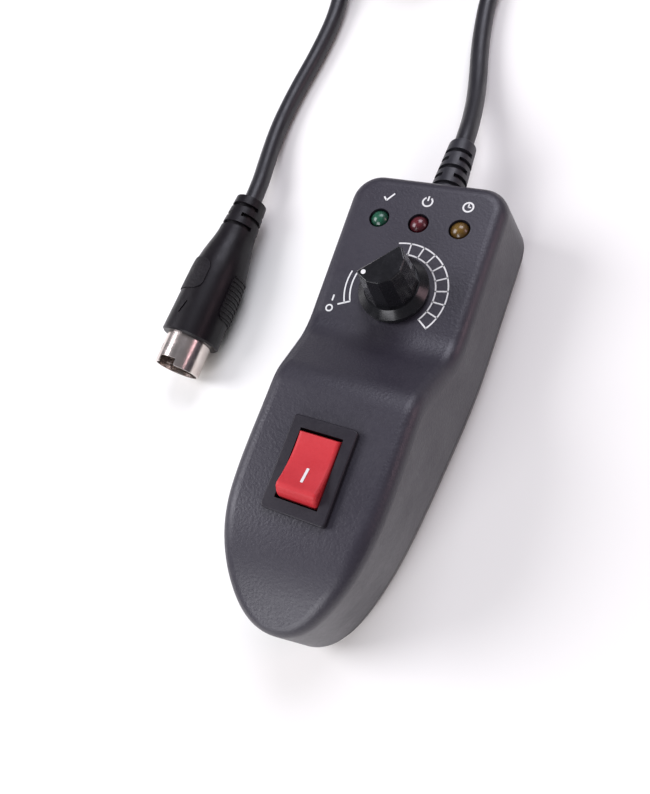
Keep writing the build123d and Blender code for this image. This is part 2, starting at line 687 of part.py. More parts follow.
cord_tail_part, _ = tube(TAIL_ROUTE, CORD_RADIUS, tangent_radii(TAIL_ROUTE))
save(cord_tail_part, "cord_tail")
cord_parts = {}
for route, cord_name in ((BOOT_ROUTE, "cord_from_boot"), (PLUG_ROUTE, "cord_to_plug")):
    corner_radii = tangent_radii(route)
    cord_part, cord_length = tube(route, CORD_RADIUS, corner_radii)
    print(cord_name, "radii", [round(radius, 1) for radius in corner_radii])
    print(cord_name, "length", round(cord_length, 1), "volume", round(cord_part.volume),
          "section x length", round(pi * CORD_RADIUS ** 2 * cord_length))
    save(cord_part, cord_name)
    cord_parts[cord_name] = cord_part

coil_axis = Axis((*COIL_CENTRE, 0), (0, 0, 1))
coil_width = CORD_DIAMETER * COIL_COLUMNS
coil_height = CORD_DIAMETER * COIL_LAYERS

with BuildPart() as coil_tie:
    with BuildSketch(Plane.XZ.offset(-COIL_CENTRE[1])):
        with Locations((COIL_CENTRE[0] + COIL_MID_RADIUS, (coil_height + TIE_THICKNESS) / 2)):
            RectangleRounded(coil_width + 2 * TIE_THICKNESS, coil_height + TIE_THICKNESS, 2.6)
            RectangleRounded(coil_width, coil_height - TIE_THICKNESS, 2.0, mode=Mode.SUBTRACT)
    revolve(axis=coil_axis, revolution_arc=TIE_ARC)
coil_tie = coil_tie.part.rotate(coil_axis, -90 - TIE_ARC / 2)
save(coil_tie, "coil_tie")

with BuildPart() as coil_ring:
    with BuildSketch(Plane.XZ.offset(-COIL_CENTRE[1])):
        with Locations((COIL_CENTRE[0] + COIL_MID_RADIUS, coil_height / 2)):
            RectangleRounded(coil_width, coil_height, 2.0)
    revolve(axis=coil_axis)
cord_coil = coil_ring.part - coil_tie
save(cord_coil, "cord_coil")
coil_turns = COIL_COLUMNS * COIL_LAYERS - 1.5
print("coil turns", coil_turns, "length", round(coil_turns * 2 * pi * COIL_MID_RADIUS))

def along_plane(origin, direction, angle):
    """Plane that holds the axis: X outward at the given angle about it, Y along it."""
    across = Plane(origin=origin, x_dir=(1, 0, 0), z_dir=direction)
    outward = across.x_dir * cos(radians(angle)) + across.y_dir * sin(radians(angle))
    return Plane(origin=origin, x_dir=outward, z_dir=outward.cross(across.z_dir))


def relief_slot(origin, direction, start, distance, radius):
    """One flexing slot: a ring segment cut into a boot, at a distance along its axis."""
    with BuildPart(mode=Mode.PRIVATE) as slot:
        with BuildSketch(along_plane(origin, direction, start)):
            with Locations((radius + 1.0, distance)):
                Rectangle(2.0, SLOT_WIDTH)
        revolve(axis=Axis(origin, direction), revolution_arc=SLOT_ARC)
    return slot.part


SLOT_WIDTH = 1.3
SLOT_ARC = 140.0
boot_direction = Vector(*BOOT_TIP) - Vector(*BOOT_ROOT)
boot_plane = Plane(origin=BOOT_ROOT, x_dir=(1, 0, 0), z_dir=boot_direction)

with BuildPart() as boot_cone:
    with BuildSketch(boot_plane):
        Circle(4.9)
    with BuildSketch(boot_plane.offset(boot_direction.length)):
        Circle(3.8)
    loft()
    fillet(edges().sort_by(Axis.Y)[-1], 0.5)

boot_slots = []
for row in range(5):
    for half in (20, 200):
        boot_slots.append(relief_slot(
            BOOT_ROOT, boot_direction, half + 90 * (row % 2), 4.6 + 2.8 * row, 3.75 - 0.17 * row))

with BuildPart() as boot_flange:
    with BuildSketch(Plane.XZ.offset(-54.2)):
        with Locations((0, CORD_EXIT_Z)):
            Circle(6.2)
    extrude(amount=-1.6)
    with BuildSketch(Plane.XZ.offset(-55.0)):
        with Locations((0, CORD_EXIT_Z)):
            Circle(BOOT_NECK_RADIUS)
    extrude(amount=-3.8)
cord_boot = (boot_cone.part - boot_slots - top_shell.part) + boot_flange.part
cord_boot = cord_boot - cord_tail_part - cord_parts["cord_from_boot"]
save(cord_boot, "cord_boot")

with BuildPart() as cable_tie:
    with BuildSketch(Plane.XZ.offset(-51.0)):
        with Locations((0, CORD_EXIT_Z)):
            Circle(CORD_RADIUS + 0.45)
        with Locations((0, CORD_EXIT_Z - CORD_RADIUS - 1.6)):
            Rectangle(3.6, 3.2)
        with Locations((0, CORD_EXIT_Z)):
            Circle(CORD_RADIUS, mode=Mode.SUBTRACT)
    extrude(amount=-2.5)
save(cable_tie.part, "cable_tie")


# ---- Plug ----

plug_across = Plane(origin=PLUG_FRONT, x_dir=(1, 0, 0), z_dir=PLUG_AXIS)
plug_line = Axis(PLUG_FRONT, PLUG_AXIS)
MOULDING_END = DIN_LENGTH + 36.0
RELIEF_END = MOULDING_END + 11.0
SHELL_DEPTH = 5.0          # how far the metal shell sits in the moulding

with BuildPart() as plug_moulding:
    with BuildSketch(along_plane(PLUG_FRONT, PLUG_AXIS, 0)):
        with BuildLine():
            front = Polyline((0, DIN_LENGTH), (PLUG_RADIUS - 0.5, DIN_LENGTH), (PLUG_RADIUS, DIN_LENGTH + 0.5),
                             (PLUG_RADIUS - 0.5, DIN_LENGTH + 20))
            taper = Spline(front @ 1, (7.0, DIN_LENGTH + 28.5), (5.7, MOULDING_END - 1),
                           tangents=[(-0.03, 1), (-0.12, 1)])
            Polyline(taper @ 1, (4.8, RELIEF_END), (0, RELIEF_END), (0, DIN_LENGTH))
        make_face()
    revolve(axis=plug_line)
    with BuildSketch(plug_across.offset(DIN_LENGTH)):
        Circle(DIN_RADIUS - 0.2)
    extrude(amount=SHELL_DEPTH, mode=Mode.SUBTRACT)

plug_slots = []
for row in range(3):
    for half in (20, 200):
        plug_slots.append(relief_slot(
            PLUG_FRONT, PLUG_AXIS, half + 90 * (row % 2), MOULDING_END + 1.2 + 3.3 * row, 4.5 - 0.3 * row))
plug_body = plug_moulding.part - plug_slots - cord_parts["cord_to_plug"]
save(plug_body, "plug_body")

with BuildPart() as plug_shell:
    for start, length, radius in ((0, DIN_LENGTH, DIN_RADIUS), (DIN_LENGTH, SHELL_DEPTH, DIN_RADIUS - 0.2)):
        with BuildSketch(plug_across.offset(start)):
            Circle(radius)
            Circle(DIN_RADIUS - DIN_WALL, mode=Mode.SUBTRACT)
        extrude(amount=length)
    with BuildSketch(plug_across.offset(-1)):
        with Locations((0, -DIN_RADIUS)):
            Rectangle(5.0, 3.0)
    extrude(amount=3.0, mode=Mode.SUBTRACT)
    with BuildSketch(Plane(origin=plug_across.from_local_coords((0, 0, 4.6)), x_dir=PLUG_AXIS,
                           z_dir=plug_across.x_dir.rotate(plug_line, 222)).offset(DIN_RADIUS - 0.3)):
        Rectangle(1.7, 1.9)
    extrude(amount=1, mode=Mode.SUBTRACT)
save(plug_shell.part, "plug_shell")

with BuildPart() as plug_insulator:
    with BuildSketch(plug_across.offset(DIN_LENGTH - 2)):
        Circle(DIN_RADIUS - DIN_WALL)
        with PolarLocations(PIN_CIRCLE_RADIUS, 5, 0, 180, endpoint=True):
            Circle(0.72, mode=Mode.SUBTRACT)
    extrude(amount=SHELL_DEPTH + 2)
save(plug_insulator.part, "plug_insulator")

with BuildPart() as plug_pins:
    with BuildSketch(plug_across.offset(1.3)):
        with PolarLocations(PIN_CIRCLE_RADIUS, 5, 0, 180, endpoint=True):
            Circle(0.72)
    extrude(amount=DIN_LENGTH + SHELL_DEPTH - 1.3)
    fillet(edges().filter_by(GeomType.CIRCLE).group_by(Axis.Y)[0], 0.4)
save(plug_pins.part, "plug_pins")
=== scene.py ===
import json
import math
import bpy
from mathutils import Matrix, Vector


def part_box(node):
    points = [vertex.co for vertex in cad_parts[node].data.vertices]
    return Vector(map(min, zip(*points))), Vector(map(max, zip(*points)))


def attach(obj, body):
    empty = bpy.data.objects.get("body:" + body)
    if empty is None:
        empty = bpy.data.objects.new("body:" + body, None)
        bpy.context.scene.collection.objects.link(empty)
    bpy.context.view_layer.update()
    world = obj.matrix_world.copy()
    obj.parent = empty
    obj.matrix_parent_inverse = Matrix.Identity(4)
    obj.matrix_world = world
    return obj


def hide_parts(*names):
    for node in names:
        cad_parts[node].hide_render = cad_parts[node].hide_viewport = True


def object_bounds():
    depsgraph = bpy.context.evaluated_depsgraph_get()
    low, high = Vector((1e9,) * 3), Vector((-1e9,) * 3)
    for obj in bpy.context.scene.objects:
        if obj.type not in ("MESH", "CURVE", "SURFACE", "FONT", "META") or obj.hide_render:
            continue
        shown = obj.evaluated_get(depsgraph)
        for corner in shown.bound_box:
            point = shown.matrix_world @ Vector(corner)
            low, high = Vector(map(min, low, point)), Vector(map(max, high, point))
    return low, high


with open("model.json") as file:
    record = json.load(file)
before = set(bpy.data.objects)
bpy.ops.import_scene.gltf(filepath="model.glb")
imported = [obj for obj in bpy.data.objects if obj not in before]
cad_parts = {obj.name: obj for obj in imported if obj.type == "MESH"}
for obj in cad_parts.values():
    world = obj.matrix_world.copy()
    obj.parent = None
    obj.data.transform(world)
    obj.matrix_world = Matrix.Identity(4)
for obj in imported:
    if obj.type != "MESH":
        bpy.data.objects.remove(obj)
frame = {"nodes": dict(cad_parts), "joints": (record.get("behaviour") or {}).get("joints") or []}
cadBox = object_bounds()
cadNodes = frame["nodes"]
scene = bpy.context.scene
bpy.ops.object.select_all(action="DESELECT")


# Shader nodes written as sums: a Wire is one output socket, a Finish is one material.

class Wire:
    def __init__(self, finish, socket):
        self.finish, self.socket = finish, socket

    def __getitem__(self, name):                       # another output of the same node
        return Wire(self.finish, self.socket.node.outputs[name])

    def join(self, operation, other, swapped=False):
        pair = (other, self) if swapped else (self, other)
        return self.finish.node("ShaderNodeMath", {"operation": operation}, dict(enumerate(pair)))

    def __add__(self, other):
        return self.join("ADD", other)

    def __sub__(self, other):
        return self.join("SUBTRACT", other)

    def __rsub__(self, other):
        return self.join("SUBTRACT", other, True)

    def __mul__(self, other):
        return self.join("MULTIPLY", other)

    __radd__, __rmul__ = __add__, __mul__

    def within(self, low, high, toLow=0.0, toHigh=1.0):    # remaps low..high, clamped
        return self.finish.node("ShaderNodeMapRange", {"clamp": True}, {
            "Value": self, "From Min": low, "From Max": high, "To Min": toLow, "To Max": toHigh})


class Finish:
    def __init__(self, name):
        self.material = bpy.data.materials.new(name)
        self.material.use_nodes = True
        self.tree = self.material.node_tree
        self.tree.nodes.clear()
        self.place = self.node("ShaderNodeTexCoord")["Object"]

    def node(self, kind, settings=None, sockets=None):
        made = self.tree.nodes.new(kind)
        for name, value in (settings or {}).items():
            if name == "stops":
                self.setStops(made.color_ramp, value)
            else:
                setattr(made, name, value)
        for name, value in (sockets or {}).items():
            if isinstance(value, Wire):
                self.tree.links.new(value.socket, made.inputs[name])
            else:
                made.inputs[name].default_value = value
        return Wire(self, made.outputs[0] if made.outputs else None)

    def setStops(self, ramp, stops):
        while len(ramp.elements) < len(stops):
            ramp.elements.new(0.5)
        for element, (position, colour) in zip(ramp.elements, stops):
            element.position, element.color = position, (*colour, 1)

    def noise(self, size, detail=2.0, rough=0.5, place=None):   # size of one blotch, in metres
        return self.node("ShaderNodeTexNoise", {}, {
            "Vector": place or self.place, "Scale": 1 / size, "Detail": detail, "Roughness": rough})

    def cells(self, size, feature="F1", place=None):
        return self.node("ShaderNodeTexVoronoi", {"feature": feature}, {
            "Vector": place or self.place, "Scale": 1 / size})

    def turned(self, origin, turn, scale=(1, 1, 1)):            # pattern centred and turned on the piece
        moved = self.node("ShaderNodeMapping", {"vector_type": "TEXTURE"}, {
            "Vector": self.place, "Location": origin, "Rotation": inRadians(turn)})
        return self.node("ShaderNodeVectorMath", {"operation": "MULTIPLY"}, {0: moved, 1: scale})

    def blend(self, factor, first, second):
        colours = [c if isinstance(c, Wire) else (*c, 1) for c in (first, second)]
        mixed = self.node("ShaderNodeMix", {"data_type": "RGBA"}, {0: factor, 6: colours[0], 7: colours[1]})
        return mixed[2]                                         # its colour output

    def edges(self, radius):                                    # 1 on sharp outer and inner edges, 0 on faces
        rounded = self.node("ShaderNodeBevel", {"samples": 4}, {"Radius": radius})
        flat = self.node("ShaderNodeNewGeometry")["Normal"]
        product = self.node("ShaderNodeVectorMath", {"operation": "DOT_PRODUCT"}, {0: rounded, 1: flat})
        return (1 - product["Value"]).within(0.02, 0.3)

    def bump(self, height, depth):                              # depth in metres for a height from 0 to 1
        return self.node("ShaderNodeBump", {}, {"Height": height, "Distance": depth, "Strength": 1.0})

    def surface(self, colour, roughness, normal=None, **fixed):
        sockets = {"Base Color": colour if isinstance(colour, Wire) else (*colour, 1), "Roughness": roughness}
        if normal is not None:
            sockets["Normal"] = normal
        sockets.update({name.replace("_", " "): value for name, value in fixed.items()})
        shader = self.node("ShaderNodeBsdfPrincipled", {}, sockets)
        self.node("ShaderNodeOutputMaterial", {}, {"Surface": shader})
        return self.material


def inRadians(turn):
    return [math.radians(angle) for angle in turn]


def paint(material, *names):
    for name in names:
        slots = cadNodes[name].data.materials
        slots.clear()
        slots.append(material)


def select(*pieces):
    bpy.ops.object.select_all(action="DESELECT")
    for piece in pieces:
        piece.select_set(True)
    bpy.context.view_layer.objects.active = pieces[-1]


def applyPlace(piece):
    select(piece)
    bpy.ops.object.transform_apply(location=True, rotation=True, scale=True)


def joinPieces(name, pieces):
    select(*pieces)
    bpy.ops.object.join()
    piece = bpy.context.object
    piece.name = name
    return piece


def addModifier(piece, kind, **values):
    select(piece)
    modifier = piece.modifiers.new(kind.title(), kind)
    for name, value in values.items():
        setattr(modifier, name, value)
    bpy.ops.object.modifier_apply(modifier=modifier.name)


# Camera

cameraView = {
    "place": (0.05104, -0.02919, 0.16435),
    "turn": (17.30, 18.405, 20.289),                   # degrees about X, Y, Z
    "lens": 29.47,
    "sensor": 36.0,
}
bpy.ops.object.camera_add(location=cameraView["place"], rotation=inRadians(cameraView["turn"]))
camera = bpy.context.object
camera.name = "camera"
camera.data.lens = cameraView["lens"]
camera.data.sensor_width = cameraView["sensor"]
camera.data.clip_start = 0.005
scene.camera = camera
print("camera in place")


# Cord: one line from inside the boot, over the floor to the coil, round it and back to the plug.

cordSize = {
    "diameter": 0.0054,
    "length": 2.81,                                    # metres, coil included
    "coilCentre": (-0.036, 0.187),
    "coilMiddle": 0.028,                               # radius at the middle of the bundle
    "columns": 4,
    "layers": 4,
    "pointsPerTurn": 16,
    "turns": 14.5,
    "firstStep": 300, "stepSpan": 60,                  # degrees: where turns step sideways, and over how much
    "coilFoot": 0.0027,                                # centre of the lowest turns over the floor
    "fromBoot": [(-0.0003, 0.070, 0.0117), (-0.0006, 0.0795, 0.0106), (-0.0019, 0.090, 0.0074),
                 (-0.0046, 0.103, 0.0039), (-0.0092, 0.121, 0.0027), (-0.0116, 0.142, 0.0027),
                 (-0.0040, 0.165, 0.0027)],
    "toPlug": [(-0.0716, 0.174, 0.0166), (-0.0684, 0.161, 0.0106), (-0.0630, 0.147, 0.0048),
               (-0.0600, 0.131, 0.0029), (-0.0610, 0.114, 0.0027), (-0.0638, 0.097, 0.0027),
               (-0.0648, 0.083, 0.0029), (-0.0630, 0.070, 0.0044), (-0.0607, 0.0595, 0.0065),
               (-0.06063, 0.0499, 0.00743)],
    "exit": (0.0, 0.059, 0.013),
}


def coilTurns(size):
    # Each layer steps sideways just before the climb below it reaches that spot, so no turn meets another.
    pitch, step = size["diameter"], 360 / size["pointsPerTurn"]
    outer = size["coilMiddle"] + pitch * (size["columns"] - 1) / 2
    slack = 0.75 + 0.25 * math.cos(math.radians(step))          # the spline runs this much inside its points
    span = size["stepSpan"]
    moves, start = [], size["firstStep"]
    for layer in range(size["layers"]):
        for column in range(size["columns"] - 1):
            moves.append((start, 1 if layer % 2 == 0 else -1, 0))
            start += 360
        moves.append((start - span, 0, 1))
        start += 360 - 2 * span
    points = []
    for number in range(round(size["turns"] * size["pointsPerTurn"]) + 1):
        turned = number * step
        done = [(min(max((turned - begin) / span, 0), 1), inward, upward) for begin, inward, upward in moves]
        column = sum(part * inward for part, inward, upward in done)
        level = sum(part * upward for part, inward, upward in done)
        radius = (outer - pitch * column) / slack
        points.append((size["coilCentre"][0] + radius * math.cos(math.radians(turned)),
                       size["coilCentre"][1] + radius * math.sin(math.radians(turned)),
                       size["coilFoot"] + pitch * level))
    return points


cordPoints = cordSize["fromBoot"] + coilTurns(cordSize) + cordSize["toPlug"]
cordCurve = bpy.data.curves.new("cord", "CURVE")
cordCurve.dimensions = "3D"
cordCurve.bevel_depth = 1.0                            # metres, times each point's radius
cordCurve.bevel_resolution = 5
cordCurve.resolution_u = 6
cordCurve.use_fill_caps = True
cordLine = cordCurve.splines.new("NURBS")
cordLine.points.add(len(cordPoints) - 1)
for point, spot in zip(cordLine.points, cordPoints):
    point.co = (*spot, 1)
    point.radius = cordSize["diameter"] / 2
cordLine.order_u = 3
cordLine.use_endpoint_u = True
cord = bpy.data.objects.new("cord", cordCurve)
scene.collection.objects.link(cord)
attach(cord, "handset")
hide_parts("cord_from_boot", "cord_coil", "cord_to_plug")
print("cord laid with", len(cordPoints), "points")


# Moulded plastics. Sizes in metres, colours linear.

def mouldedPlastic(name, look):
    finish = Finish(name)
    blotch = finish.noise(look["blotch"], 3).within(0.35, 0.65)
    speck = finish.noise(look["grain"] * 1.7, 2, 0.6).within(0.3, 0.7)
    colour = finish.blend(blotch * 0.6 + speck * 0.4, look["colour"], look["second"])
    worn = finish.edges(look["edge"]) * finish.noise(0.0022, 4, 0.6).within(0.35, 0.7)
    colour = finish.blend(worn * look["wear"], colour, look["worn"])
    if "seam" in look:                                     # shadow in the joint between the two shells
        height = finish.node("ShaderNodeSeparateXYZ", {}, {0: finish.place})["Z"]
        shadow = (height - look["seam"]).join("ABSOLUTE", 0).within(0.00055, 0.00025, 0.0, 0.92)
        colour = finish.blend(shadow, colour, (0.002, 0.002, 0.002))
    pebbles = finish.cells(look["grain"], "SMOOTH_F1").within(0.0, 0.8)
    fine = finish.noise(look["grain"] * 0.45, 2, 0.6)
    normal = finish.bump(pebbles * 0.55 + fine * 0.45, look["depth"])
    rubbed = finish.noise(look["blotch"] * 0.4, 4, 0.6).within(0.3, 0.7)
    rough = rubbed * (look["roughHigh"] - look["roughLow"]) + look["roughLow"] + (speck - 0.5) * 0.06
    return finish.surface(colour, rough, normal, **look.get("fixed", {}))


shellLook = {
    "colour": (0.024, 0.0215, 0.031), "second": (0.031, 0.0275, 0.038), "worn": (0.08, 0.072, 0.08),
    "blotch": 0.028, "grain": 0.00055, "depth": 0.000055, "edge": 0.0006, "wear": 0.20, "seam": 0.007,
    "roughLow": 0.36, "roughHigh": 0.46,
}
paint(mouldedPlastic("charcoal_shell", shellLook), "top_shell")
baseLook = {**shellLook, "colour": (0.029, 0.025, 0.029), "second": (0.038, 0.033, 0.037),
            "roughLow": 0.40, "roughHigh": 0.52}
paint(mouldedPlastic("charcoal_base", baseLook), "bottom_shell")

glossLook = {
    "colour": (0.006, 0.006, 0.007), "second": (0.010, 0.010, 0.012), "worn": (0.05, 0.05, 0.052),
    "blotch": 0.006, "grain": 0.0005, "depth": 0.0000010, "edge": 0.0003, "wear": 0.12,
    "roughLow": 0.20, "roughHigh": 0.28,
    "fixed": {"Specular_IOR_Level": 0.35, "Coat_Weight": 0.1, "Coat_Roughness": 0.12},
}
satinLook = {
    "colour": (0.015, 0.013, 0.018), "second": (0.021, 0.018, 0.024), "worn": (0.06, 0.056, 0.062),
    "blotch": 0.008, "grain": 0.0003, "depth": 0.000008, "edge": 0.0004, "wear": 0.3,
    "roughLow": 0.34, "roughHigh": 0.46, "fixed": {"Specular_IOR_Level": 0.30},
}
paint(mouldedPlastic("knob_gloss", glossLook), "control_knob")
paint(mouldedPlastic("bezel_satin", satinLook), "rocker_housing")

redLook = {
    "colour": (0.50, 0.022, 0.030), "second": (0.57, 0.034, 0.042), "worn": (0.70, 0.12, 0.11),
    "blotch": 0.006, "grain": 0.0003, "depth": 0.000007, "edge": 0.0005, "wear": 0.4,
    "roughLow": 0.42, "roughHigh": 0.52,
    "fixed": {"Specular_IOR_Level": 0.3, "Subsurface_Weight": 0.08, "Subsurface_Scale": 1.0,
              "Subsurface_Radius": (0.001, 0.0003, 0.0003)},
}
paint(mouldedPlastic("rocker_red", redLook), "rocker_button")

whiteLook = {
    "colour": (0.80, 0.80, 0.78), "second": (0.70, 0.70, 0.68), "worn": (0.55, 0.55, 0.53),
    "blotch": 0.003, "grain": 0.0002, "depth": 0.000004, "edge": 0.0001, "wear": 0.2,
    "roughLow": 0.42, "roughHigh": 0.55,
}
whiteInk = mouldedPlastic("white_ink", whiteLook)
paint(whiteInk, "knob_dot")

pvcLook = {
    "colour": (0.009, 0.0082, 0.0115), "second": (0.014, 0.013, 0.017), "worn": (0.04, 0.038, 0.042),
    "blotch": 0.010, "grain": 0.00035, "depth": 0.000009, "edge": 0.0005, "wear": 0.35,
    "roughLow": 0.34, "roughHigh": 0.48, "fixed": {"Sheen_Weight": 0.06, "Sheen_Roughness": 0.4},
}
cord.data.materials.append(mouldedPlastic("cord_jacket", pvcLook))
paint(mouldedPlastic("cord_jacket_inside", pvcLook),
      "cord_tail", "cord_from_boot", "cord_to_plug", "cord_coil")
bootLook = {**pvcLook, "colour": (0.014, 0.0135, 0.019), "second": (0.020, 0.019, 0.025),
            "roughLow": 0.38, "roughHigh": 0.50}
paint(mouldedPlastic("boot_rubber", bootLook), "cord_boot")

plugLook = {**pvcLook, "colour": (0.0048, 0.0036, 0.0050), "second": (0.0085, 0.0065, 0.0088),
            "worn": (0.028, 0.023, 0.027), "roughLow": 0.34, "roughHigh": 0.46,
            "fixed": {"Specular_IOR_Level": 0.25}}
paint(mouldedPlastic("plug_moulding", plugLook), "plug_body")


# Hook-and-loop tie round the coil: a fine weave.

tieLook = {
    "thread": (0.022, 0.021, 0.024), "gap": (0.005, 0.005, 0.006), "depth": 0.00012,
    "acrossScale": 520.0, "downScale": 420.0, "waver": 0.6, "roughLow": 0.75, "roughHigh": 0.9,
}


def wovenTie(look):
    finish = Finish("tie_weave")
    across = finish.node("ShaderNodeTexWave", {"bands_direction": "X"}, {
        "Vector": finish.place, "Scale": look["acrossScale"], "Distortion": look["waver"], "Detail": 1.0})
    down = finish.node("ShaderNodeTexWave", {"bands_direction": "DIAGONAL"}, {
        "Vector": finish.turned((0, 0, 0), (0, 0, 90)), "Scale": look["downScale"],
        "Distortion": look["waver"], "Detail": 1.0})
    weave = across.join("MAXIMUM", down)
    colour = finish.blend(weave, look["gap"], look["thread"])
    rough = weave.within(0.0, 1.0, look["roughLow"], look["roughHigh"])
    return finish.surface(colour, rough, finish.bump(weave, look["depth"]), Sheen_Weight=0.2)


paint(wovenTie(tieLook), "coil_tie")
paint(mouldedPlastic("black_nylon", {**satinLook, "colour": (0.012, 0.012, 0.013)}),
      "rocker_plunger", "cable_tie", "pot_switch", "plug_insulator")
print("plastics done")


# Lamps: tinted resin with painted light: a painted reflection of the cup inside brightens the middle, painted
# shade darkens it towards the rim, and painted glints are dotted over the middle.

lampLooks = {
    "led_green": {"rim": (0.001, 0.020, 0.010), "core": (0.010, 0.095, 0.050), "glint": (0.06, 0.20, 0.12)},
    "led_red": {"rim": (0.026, 0.001, 0.003), "core": (0.115, 0.010, 0.017), "glint": (0.26, 0.06, 0.07)},
    "led_yellow": {"rim": (0.040, 0.017, 0.001), "core": (0.150, 0.082, 0.010), "glint": (0.32, 0.20, 0.05)},
}
lampDepth = {                                          # metres from the lamp's axis, and sizes of its clouding
    "core": 0.0008, "rim": 0.0024, "cloud": 0.0011, "waver": 0.0007,
    "fleck": 0.0006, "fleckInner": 0.0004, "fleckOuter": 0.0016,
    "ripple": 0.0008, "rippleDepth": 0.00002,
}


def lampResinWithPaintedLight(node, look):
    low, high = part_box(node)
    finish = Finish(node + "_resin")
    centred = finish.turned(((low.x + high.x) / 2, (low.y + high.y) / 2, high.z), (0, 0, 0), (1, 1, 0))
    reach = finish.node("ShaderNodeVectorMath", {"operation": "LENGTH"}, {0: centred})["Value"]
    cloud = finish.noise(lampDepth["cloud"], 3, 0.55)
    # painted light: colour brightest over the cup at the axis, turning to painted shade at the rim
    body = (reach + (cloud - 0.5) * lampDepth["waver"]).within(lampDepth["core"], lampDepth["rim"])
    colour = finish.blend(body, look["core"], look["rim"])
    # painted glints: bright specks of the glint colour near the axis
    paintedGlintZone = reach.within(lampDepth["fleckOuter"], lampDepth["fleckInner"])
    paintedGlints = finish.noise(lampDepth["fleck"], 2).within(0.60, 0.72) * paintedGlintZone
    colour = finish.blend(paintedGlints * 0.6, colour, look["glint"])
    ripple = finish.bump(finish.noise(lampDepth["ripple"], 2), lampDepth["rippleDepth"])
    rough = cloud.within(0.3, 0.7, 0.22, 0.34)
    return finish.surface(colour, rough, ripple, Coat_Weight=0.25, Coat_Roughness=0.12, IOR=1.53,
                          Subsurface_Weight=0.15, Subsurface_Radius=(0.001, 0.001, 0.001), Subsurface_Scale=0.6)


for node, look in lampLooks.items():
    paint(lampResinWithPaintedLight(node, look), node)


# Metals: a drawn or plated surface with fine lines, dull patches and brighter rubbed edges.

def plainMetal(name, look):
    finish = Finish(name)
    lines = finish.noise(look["line"], 3, 0.6, finish.turned((0, 0, 0), look["turn"], look["stretch"]))
    stain = finish.noise(look["blotch"], 4, 0.6).within(0.40, 0.72)
    colour = finish.blend(stain * look["dull"], look["colour"], look["stained"])
    colour = finish.blend(finish.edges(0.0003) * 0.5, colour, look["bright"])
    rough = stain * (look["roughHigh"] - look["roughLow"]) + look["roughLow"] + (lines - 0.5) * 0.08
    return finish.surface(colour, rough, finish.bump(lines, look["depth"]), Metallic=1.0)


nickelLook = {
    "colour": (0.74, 0.67, 0.63), "stained": (0.52, 0.41, 0.37), "bright": (0.88, 0.84, 0.81), "dull": 0.5,
    "line": 0.0006, "turn": (0, 0, 1.7), "stretch": (1, 0.06, 1), "depth": 0.0000012, "blotch": 0.004,
    "roughLow": 0.17, "roughHigh": 0.30,
}
steelLook = {**nickelLook, "colour": (0.54, 0.54, 0.55), "stained": (0.36, 0.35, 0.34), "stretch": (1, 1, 1),
             "line": 0.0003, "depth": 0.000004, "roughLow": 0.24, "roughHigh": 0.42}
brassLook = {**steelLook, "colour": (0.74, 0.56, 0.26), "stained": (0.45, 0.31, 0.14),
             "bright": (0.90, 0.76, 0.45)}
tinLook = {**steelLook, "colour": (0.66, 0.66, 0.65), "stained": (0.42, 0.42, 0.41), "roughLow": 0.28}
paint(plainMetal("shell_nickel", nickelLook), "plug_shell", "plug_pins", "pot_nut", "pot_washer")
paint(plainMetal("screw_zinc", steelLook), "case_screws", "board_screws", "pot_body", "plunger_spring")
paint(plainMetal("contact_brass", brassLook), "contact_lever", "rocker_terminals", "pot_shaft")
paint(plainMetal("tinned_wire", tinLook), "led_leads", "pot_terminals")
print("lamps and metals done")


# Board and the small parts inside.

boardLook = {
    "mask": (0.012, 0.10, 0.035), "second": (0.020, 0.14, 0.05), "track": (0.05, 0.26, 0.10),
    "pad": (0.55, 0.55, 0.52), "padPitch": 0.0031, "blotch": 0.006, "depth": 0.00003,
    "trackWidth": 0.00022, "trackLength": 0.0052, "trackPitch": 0.0016,
}


def boardMask(look):
    finish = Finish("board_mask")
    tracks = finish.node("ShaderNodeTexBrick", {"offset": 0.4}, {
        "Vector": finish.place, "Scale": 1.0, "Mortar Size": look["trackWidth"], "Mortar Smooth": 0.3,
        "Brick Width": look["trackLength"], "Row Height": look["trackPitch"]})["Fac"]
    pads = finish.cells(look["padPitch"]).within(0.13, 0.10)
    colour = finish.blend(finish.noise(look["blotch"], 3).within(0.3, 0.7), look["mask"], look["second"])
    colour = finish.blend(tracks * 0.8, colour, look["track"])
    colour = finish.blend(pads, colour, look["pad"])
    rough = finish.noise(look["blotch"] / 3, 3).within(0.3, 0.7, 0.28, 0.42)
    return finish.surface(colour, rough, finish.bump(tracks + pads, look["depth"]), Coat_Weight=0.3)


resistorLook = {
    "colour": (0.52, 0.42, 0.25), "second": (0.62, 0.52, 0.34), "blotch": 0.0012, "depth": 0.00002,
    "firstEnd": -0.012, "pitch": 0.008,                # the three bodies lie in a row along X
    "bandInner": 0.00026, "bandOuter": 0.00036,        # half of a band's width
    "bands": ((0.0021, (0.09, 0.03, 0.01)), (0.0034, (0.01, 0.01, 0.01)),
              (0.0047, (0.45, 0.10, 0.01)), (0.0060, (0.45, 0.32, 0.06))),
}


def resistorBands(look):
    finish = Finish("resistor_lacquer")
    along = finish.node("ShaderNodeSeparateXYZ", {}, {0: finish.place})["X"]
    inBody = (along - look["firstEnd"]).join("MODULO", look["pitch"])
    colour = finish.blend(finish.noise(look["blotch"], 3), look["colour"], look["second"])
    for middle, band in look["bands"]:
        ring = (inBody - middle).join("ABSOLUTE", 0).within(look["bandOuter"], look["bandInner"])
        colour = finish.blend(ring, colour, band)
    rough = finish.noise(0.001, 2).within(0.3, 0.7, 0.28, 0.4)
    return finish.surface(colour, rough, finish.bump(finish.noise(look["blotch"] / 2, 2), look["depth"]))


